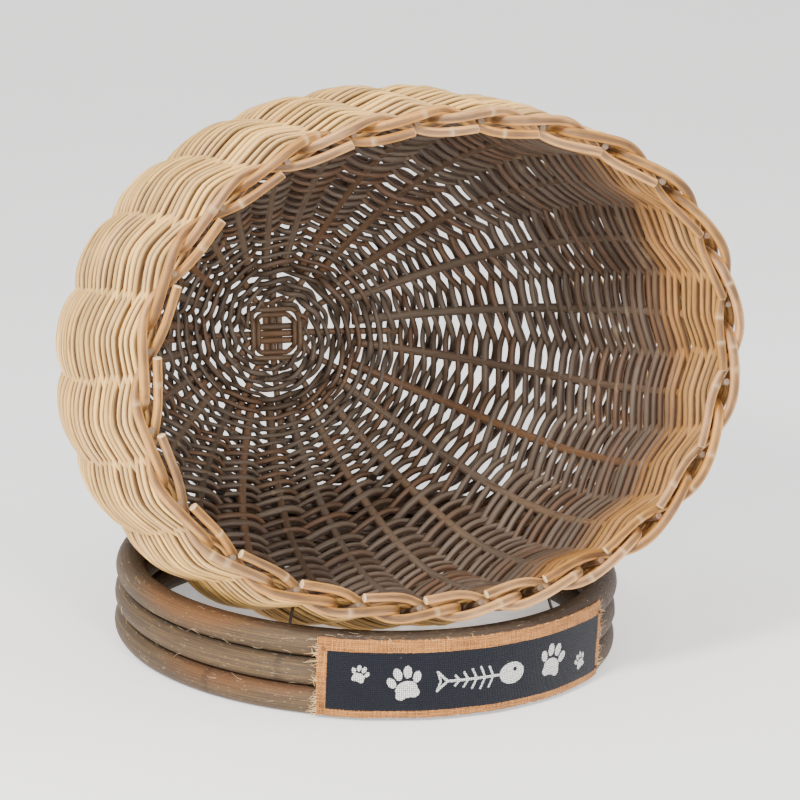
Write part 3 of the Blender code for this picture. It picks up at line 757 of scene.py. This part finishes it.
def line(x, y, start, end, half):
    start, end = np.array(start, float), np.array(end, float)
    way = end - start
    share = np.clip(((x - start[0]) * way[0] + (y - start[1]) * way[1]) / (way @ way), 0, 1)
    return half - np.hypot(x - start[0] - share * way[0], y - start[1] - share * way[1])


def paw(x, y, centre, size, lean):
    c, s = cos(radians(lean)), sin(radians(lean))
    dx, dy = (x - centre[0]) / size, (y - centre[1]) / size
    u, v = dx * c + dy * s, dy * c - dx * s
    shapes = [blob(u, v, (0, -4.5), (8.2, 6.4)), blob(u, v, (-5.0, -8.2), (4.0, 3.6)),
              blob(u, v, (5.0, -8.2), (4.0, 3.6)), blob(u, v, (-9.6, 3.0), (3.0, 4.5), 24),
              blob(u, v, (-3.7, 8.2), (3.1, 4.9), 8), blob(u, v, (3.7, 8.2), (3.1, 4.9), -8),
              blob(u, v, (9.6, 3.0), (3.0, 4.5), -24)]
    return np.max(shapes, 0) * size


def fishBone(x, y, centre):
    x, y = x - centre[0], y - centre[1]
    head = np.minimum(blob(x, y, (29, 0), (12.5, 10)), 17 - np.abs(x - 36.5) + 8)
    eye = blob(x, y, (32, 3.2), (1.9, 1.9))
    shapes = [line(x, y, (-33, 0), (20, 0), 1.15)]
    for place, reach in ((-22, 4.6), (-14, 6.6), (-6, 8.4), (2, 9.6), (10, 9.2)):
        for side in (-1, 1):
            shapes.append(line(x, y, (place, 0), (place - 4.2, side * reach), 1.0))
    for side in (-1, 1):
        shapes.append(line(x, y, (-33, 0), (-42, side * 8.5), 1.15))
        shapes.append(line(x, y, (-42, side * 8.5), (-39, 0), 0.9))
    return np.maximum(np.minimum(head, -eye), np.max(shapes, 0))


def labelPlace(along, height, out):
    # curl brings the upper and lower edges back towards the canes
    share = height / label["height"] * 2 - 1
    out = out - label["curl"] * np.abs(share) ** 6
    back = ringOut + label["clear"]
    turn = radians(label["turn"] - 90) + along / back
    radius = back + out
    return np.stack([ringX + radius * np.cos(turn), ringY + radius * np.sin(turn),
                     label["low"] + height + 0 * turn], -1)


def labelMesh():
    columns, rows = label["columns"], label["rows"]
    rng = np.random.default_rng(3)
    across = np.linspace(-0.5, 0.5, columns + 1)[:, None]
    front = np.linspace(0, 1, rows + 1)[None]
    low = 0.0005 * wander(rng, columns + 1, 70, False)
    high = 0.0005 * wander(rng, columns + 1, 60, False)
    height = low[:, None] * (1 - front) + front * (label["height"] + high[:, None])
    left = 0.0007 * wander(rng, rows + 1, 17, False)
    right = 0.0007 * wander(rng, rows + 1, 15, False)
    along = across * label["length"] + left[None] * np.clip(-2 * across, 0, 1)
    along = along + right[None] * np.clip(2 * across, 0, 1)
    buckle = 0.00025 * (wander(rng, columns + 1, 19, False)[:, None]
                        + np.sin(front * 9 + across * 30))
    outer = labelPlace(along, height, label["cloth"] + buckle)
    inner = labelPlace(along, height, buckle)
    coarser = label["backStep"]
    inner = inner[:, ::-coarser]
    points = np.concatenate([outer, inner], 1)
    loop = points.shape[1]
    column, place = np.meshgrid(np.arange(columns), np.arange(loop), indexing="ij")
    after = (place + 1) % loop

    def index(i, j):
        return (i * loop + j).ravel()
    quads = np.stack([index(column, place), index(column + 1, place), index(column + 1, after),
                      index(column, after)], 1)
    v = np.concatenate([front[0] * 0.8, 0.81 + np.linspace(0, 1, inner.shape[1]) * 0.18])
    vAfter = np.append(v[1:], 0.999)
    u0, u1 = (column / columns * 0.985).ravel(), ((column + 1) / columns * 0.985).ravel()
    v0, v1 = v[place].ravel(), vAfter[place].ravel()
    corners = np.stack([np.stack([u0, u1, u1, u0], 1), np.stack([v0, v0, v1, v1], 1)], -1)
    faces = quads.tolist() + [list(range(loop))[::-1], [columns * loop + j for j in range(loop)]]
    ends = np.stack([0.99 + 0 * v, v], 1)
    places = np.concatenate([corners.reshape(-1, 2), ends[::-1], ends + (0.006, 0)])
    mesh = bpy.data.meshes.new("label")
    mesh.from_pydata(points.reshape(-1, 3), [], faces)
    uv = mesh.uv_layers.new(name="OFBake")
    uv.data.foreach_set("uv", places.ravel())
    mesh.polygons.foreach_set("use_smooth", np.ones(len(faces), bool))

    x = np.concatenate([along, along[:, ::-coarser]], 1)
    y = np.concatenate([height, height[:, ::-coarser]], 1)
    cloth = np.stack([x, y, 0 * x], -1)
    half = label["length"] / 2
    edge = np.minimum(x + half - label["left"], half - label["right"] - x)
    edge = np.minimum(edge, np.minimum(y - label["bottom"], label["height"] - label["top"] - y))
    edge[:, rows + 1:] = -1
    wide, tall = x * 1000, (y - label["height"] / 2) * 1000 + 2.5
    chalk = np.max([paw(wide, tall, (-74, -1), 1.18, 14), fishBone(wide, tall, (-4, 0)),
                    paw(wide, tall, (72, 2), 1.18, -12), paw(wide, tall, (112, -8), 0.62, 20),
                    paw(wide, tall, (-113, 7), 0.62, -18)], 0)
    mesh.attributes.new("grain", "FLOAT_VECTOR", "POINT").data.foreach_set("vector", cloth.ravel())
    for name, values in (("panel", edge * 1000), ("drawn", chalk)):
        mesh.attributes.new(name, "FLOAT", "POINT").data.foreach_set("value", values.ravel())
    return mesh


def labelFinish():
    finish = Finish("hessian", 0.9, **{"Specular IOR Level": 0.15, "Sheen Weight": 0.1})
    cloth = finish.mark("grain", "Vector")
    bend = finish.noise(cloth, 160.0, 2.0)
    slack = finish.noise(cloth, 900.0, 2.0)
    sideways = finish.node("ShaderNodeSeparateXYZ", {}, {"Vector": cloth}, 0)
    upwards = finish.node("ShaderNodeSeparateXYZ", {}, {"Vector": cloth}, 1)
    turn = pi / label["yarn"]
    along = sideways * turn + (bend - 0.5) * 2.2 + (slack - 0.5) * 1.0
    upright = upwards * turn + (bend - 0.5) * 2.0 - (slack - 0.5) * 1.2
    warp, weft = (along + pi / 2).wave(), (upright + pi / 2).wave()
    both = warp * weft * 0.45
    warpHigh = warp.math("ABSOLUTE", warp) + both
    weftHigh = weft.math("ABSOLUTE", weft) - both
    height = warpHigh.math("MAXIMUM", warpHigh, weftHigh)
    isWarp = (warpHigh - weftHigh).between(-0.1, 0.1)
    pitch = 1 / label["yarn"]
    warpTone = finish.noise(finish.stretched(cloth, (pitch * 1.1, 30, 1)), 1.0, 2.0)
    weftTone = finish.noise(finish.stretched(cloth, (30, pitch * 1.1, 1), (5, 5, 5)), 1.0, 2.0)
    tone = isWarp * warpTone + (1 - isWarp) * weftTone
    fluff = finish.noise(finish.stretched(cloth, (2600, 2600, 1)), 1.0, 3.0)
    jute = finish.mix(tone.between(0.3, 0.7), label["deep"], label["jute"])
    jute = finish.mix(fluff.between(0.5, 0.8) * 0.5, jute, paint(240, 204, 150))
    rough = finish.noise(finish.stretched(cloth, (700, 700, 1), (3, 3, 3)), 1.0, 3.0)
    inside = (finish.mark("panel") + (rough - 0.5) * 1.6).between(-0.25, 0.25)
    worn = ((height - 0.85) * 1.4 + (fluff - 0.5)).between(0.25, 0.8) * 0.28
    navy = finish.mix(worn, label["navy"], paint(58, 56, 58))
    patches = finish.noise(cloth, 60.0, 3.0)
    navy = finish.mix(patches.between(0.4, 0.75) * 0.4, navy, paint(14, 15, 22))
    dust = (height - 0.7 + (rough - 0.5) * 1.5).between(0.0, 0.55)
    drawn = (finish.mark("drawn") + (rough - 0.5) * 1.1).between(-0.2, 0.35)
    navy = finish.mix(drawn * (dust * 0.75 + 0.25), navy, label["chalk"])
    colour = finish.mix(inside, jute, navy)
    shade = height.between(0.1, 0.95) * 0.62 + 0.42
    grey = finish.node("ShaderNodeCombineColor", {}, {0: shade, 1: shade, 2: shade})
    finish.feed("Base Color", finish.mix(1.0, colour, grey, "MULTIPLY"))
    finish.bump(height + fluff * 0.3, 0.8, 0.0006)
    return finish


def threads(name, starts, ways, lengths, half, seed, curl=0.3):
    # fine loose fibres, each bent at random
    rng = np.random.default_rng(seed)
    count, places = len(starts), 8
    share = np.linspace(0, 1, places)[None, :, None]
    bend = rng.normal(0, curl, (count, 1, 3)) * share ** 2
    bend = bend + rng.normal(0, curl * 0.4, (count, 1, 3)) * np.sin(share * 5)
    path = starts[:, None] + (ways[:, None] * share + bend * share) * lengths[:, None, None]
    out = np.cross(ways, (0.3, 0.2, 1.0))[:, None] + np.zeros((1, places, 1))
    size = half * rng.uniform(0.6, 1.3, (count, 1)) * (1 - 0.6 * share[..., 0])
    marks = {"tone": rng.random((count, 1, 1))}
    return sweep(name, path, unit(out), size, size, 5, False, marks, seed)


def threadFinish(name, dark, pale):
    finish = Finish(name, 0.85, **{"Specular IOR Level": 0.2})
    grain = finish.mark("grain", "Vector")
    fibres = finish.noise(finish.stretched(grain, (300, 4000, 4000)), 1.0, 2.0)
    finish.feed("Base Color", finish.mix(finish.mark("tone") * 0.7 + fibres * 0.4, dark, pale))
    finish.bump(fibres, 0.4, 0.0002)
    return finish


labelPiece = addPiece("label", labelMesh(), labelFinish(), "hessian", "label_hessian")


def labelFray():
    rng = np.random.default_rng(12)
    starts, ways, lengths = [], [], []
    half, tall = label["length"] / 2, label["height"]

    def pull(along, height, wayAlong, wayUp, length):
        here = labelPlace(np.array(along), np.array(height), np.array(label["cloth"] * 0.8))
        turn = radians(label["turn"] - 90) + along / ringOut
        side = np.array((-np.sin(turn), np.cos(turn), 0.0))
        out = np.array((np.cos(turn), np.sin(turn), 0.0))
        way = side * wayAlong + np.array((0, 0, wayUp)) + out * rng.uniform(0.05, 0.5)
        starts.append(here)
        ways.append(way / np.linalg.norm(way))
        lengths.append(length)
    for side in (-1, 1):
        for _ in range(label["leftThreads"] if side < 0 else label["rightThreads"]):
            high = rng.uniform(0.02, 0.98) * tall
            if side < 0 and rng.random() < 0.4:
                high = rng.uniform(0, 0.22) * tall
            pull(side * (half - 0.001), high, side, rng.normal(0, 0.35),
                 rng.uniform(0.0025, 0.007) * (1.35 if side < 0 else 1))
    for edge, way in ((0.001, -1), (tall - 0.001, 1)):
        for _ in range(label["edgeThreads"]):
            pull(rng.uniform(-half, half), edge, rng.normal(0, 0.8), way * rng.uniform(0.3, 1),
                 rng.uniform(0.001, 0.0032))
    mesh = threads("labelFray", np.array(starts), np.array(ways), np.array(lengths),
                   label["threadHalf"], 4)
    finish = threadFinish("jute_thread", paint(196, 150, 96), paint(240, 210, 160))
    return addPiece("labelFray", mesh, finish, "hessian")


frayPiece = labelFray()
print("label ready")


# fuzz on the ring
fuzz = {"count": 230, "half": 0.00013, "lowest": 0.004}


def ringFibres():
    rng = np.random.default_rng(19)
    count = fuzz["count"]
    turn = rng.uniform(0, tau, count)
    level = rng.integers(0, 3, count)
    around = rng.uniform(-1.25, 1.25, count)
    half = hoopThick / 2
    middle = np.array([(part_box(node)[0].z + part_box(node)[1].z) / 2
                       for node in ("hoop_lower", "hoop_middle", "hoop_top")])[level]
    out = np.stack([np.cos(turn), np.sin(turn), 0 * turn], 1)
    side = np.stack([-np.sin(turn), np.cos(turn), 0 * turn], 1)
    normal = out * np.cos(around)[:, None] + np.array((0, 0, 1)) * np.sin(around)[:, None]
    start = np.array((ringX, ringY, 0)) + out * (ringOut - half) + normal * half * 0.985
    start[:, 2] += middle
    way = unit(side * rng.choice((-1, 1), (count, 1)) + normal * rng.uniform(0.02, 0.3, (count, 1)))
    way[:, 2] += rng.normal(0, 0.15, count)
    length = rng.uniform(0.003, 0.012, count)
    low = start[:, 2] + np.minimum(way[:, 2], 0) * length
    keep = low > fuzz["lowest"]
    mesh = threads("ringFibres", start[keep], way[keep], length[keep], fuzz["half"], 6, 0.12)
    finish = threadFinish("cane_fibre", paint(190, 164, 124), paint(232, 214, 176))
    addPiece("ringFibres", mesh, finish, "ring_cane")


ringFibres()


# pins, nails and tacks keep their own shapes
def steelFinish(name, low, middle, high):
    finish = Finish(name, 0.5, **{"Metallic": 0.6})
    place = finish.node("ShaderNodeTexCoord", {}, {}, "Object")
    clouds = finish.noise(place, 700.0, 4.0)
    fine = finish.noise(place, 3200.0, 2.0)
    colour = finish.ramp(clouds, ((0.3, low), (0.55, middle), (0.75, high)))
    finish.feed("Base Color", colour)
    finish.feed("Roughness", 0.4 + fine * 0.3)
    finish.bump(fine, 0.3, 0.0002)
    return finish


steels = {
    "ring_pin": steelFinish("dull_steel", paint(120, 104, 88), paint(150, 140, 126),
                            paint(112, 84, 62)),
    "seat_nail": steelFinish("dark_steel", paint(34, 27, 21), paint(52, 43, 34), paint(40, 28, 20)),
    "label_tack": steelFinish("brown_steel", paint(96, 62, 34), paint(124, 82, 46),
                              paint(72, 46, 26)),
}
for nodeName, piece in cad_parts.items():
    chosen = steels.get(nodeName.rpartition("_")[0])
    if chosen:
        if not piece.material_slots:
            piece.data.materials.append(chosen.material)
        for place in piece.material_slots:
            place.material = chosen.material


# floor, light and camera
def floorFinish():
    finish = Finish("pale_floor", 0.85, **{"Specular IOR Level": 0.1})
    place = finish.node("ShaderNodeTexCoord", {}, {}, "Object")
    clouds = finish.noise(place, 3.0, 2.0)
    finish.feed("Base Color", finish.mix(clouds, paint(246, 246, 246), paint(252, 252, 251)))
    finish.shader.inputs["Emission Color"].default_value = (1, 1, 1, 1)
    finish.shader.inputs["Emission Strength"].default_value = 0.4
    return finish


floorMesh = bpy.data.meshes.new("floor")
floorMesh.from_pydata([(-8, -8, 0), (8, -8, 0), (8, 8, 0), (-8, 8, 0)], [], [(0, 1, 2, 3)])
floorMesh.materials.append(floorFinish().material)
floor = bpy.data.objects.new("floor", floorMesh)
bpy.context.scene.collection.objects.link(floor)

world = bpy.data.worlds.new("studio")
world.use_nodes = True
world.node_tree.nodes["Background"].inputs["Color"].default_value = (1.0, 0.99, 0.98, 1.0)
world.node_tree.nodes["Background"].inputs["Strength"].default_value = 1.15
bpy.context.scene.world = world


def softLight(name, place, size, watts, tint=(1, 1, 1)):
    lamp = bpy.data.lights.new(name, "AREA")
    lamp.shape, lamp.size, lamp.energy, lamp.color = "DISK", size, watts, tint
    made = bpy.data.objects.new(name, lamp)
    made.location = place
    toMiddle = Vector((0, 0, 0.25)) - made.location
    made.rotation_euler = toMiddle.to_track_quat("-Z", "Y").to_euler()
    bpy.context.scene.collection.objects.link(made)


softLight("key", (-1.6, -1.6, 1.8), 0.5, 105, (1, 0.98, 0.95))
softLight("front", (0.1, -2.9, 1.0), 0.6, 62)
softLight("side", (2.0, -0.6, 1.3), 1.2, 10)

view = {"azimuth": -19.6, "height": 13.83, "roll": 2.32, "distance": 2.837, "lens": 141.84,
        "target": (0.009, -0.0291, 0.28), "aside": 0.0217, "above": -0.0553}


def frontCamera():
    a, e, r = (radians(view[word]) for word in ("azimuth", "height", "roll"))
    back = Vector((sin(a) * cos(e), -cos(a) * cos(e), sin(e)))
    right = Vector((cos(a), sin(a), 0))
    up = back.cross(right)
    right, up = right * cos(r) + up * sin(r), up * cos(r) - right * sin(r)
    eye = Vector(view["target"]) + back * view["distance"]
    aim = Vector(view["target"]) + right * view["aside"] + up * view["above"]
    back = (eye - aim).normalized()
    right = (right - back * right.dot(back)).normalized()
    up = back.cross(right)
    lens = bpy.data.cameras.new("front_camera")
    lens.lens, lens.sensor_width = view["lens"], 36
    camera = bpy.data.objects.new("front_camera", lens)
    turned = Matrix((right, up, back)).transposed().to_4x4()
    camera.matrix_world = Matrix.Translation(eye) @ turned
    bpy.context.scene.collection.objects.link(camera)
    bpy.context.scene.camera = camera


frontCamera()
print("stage ready")
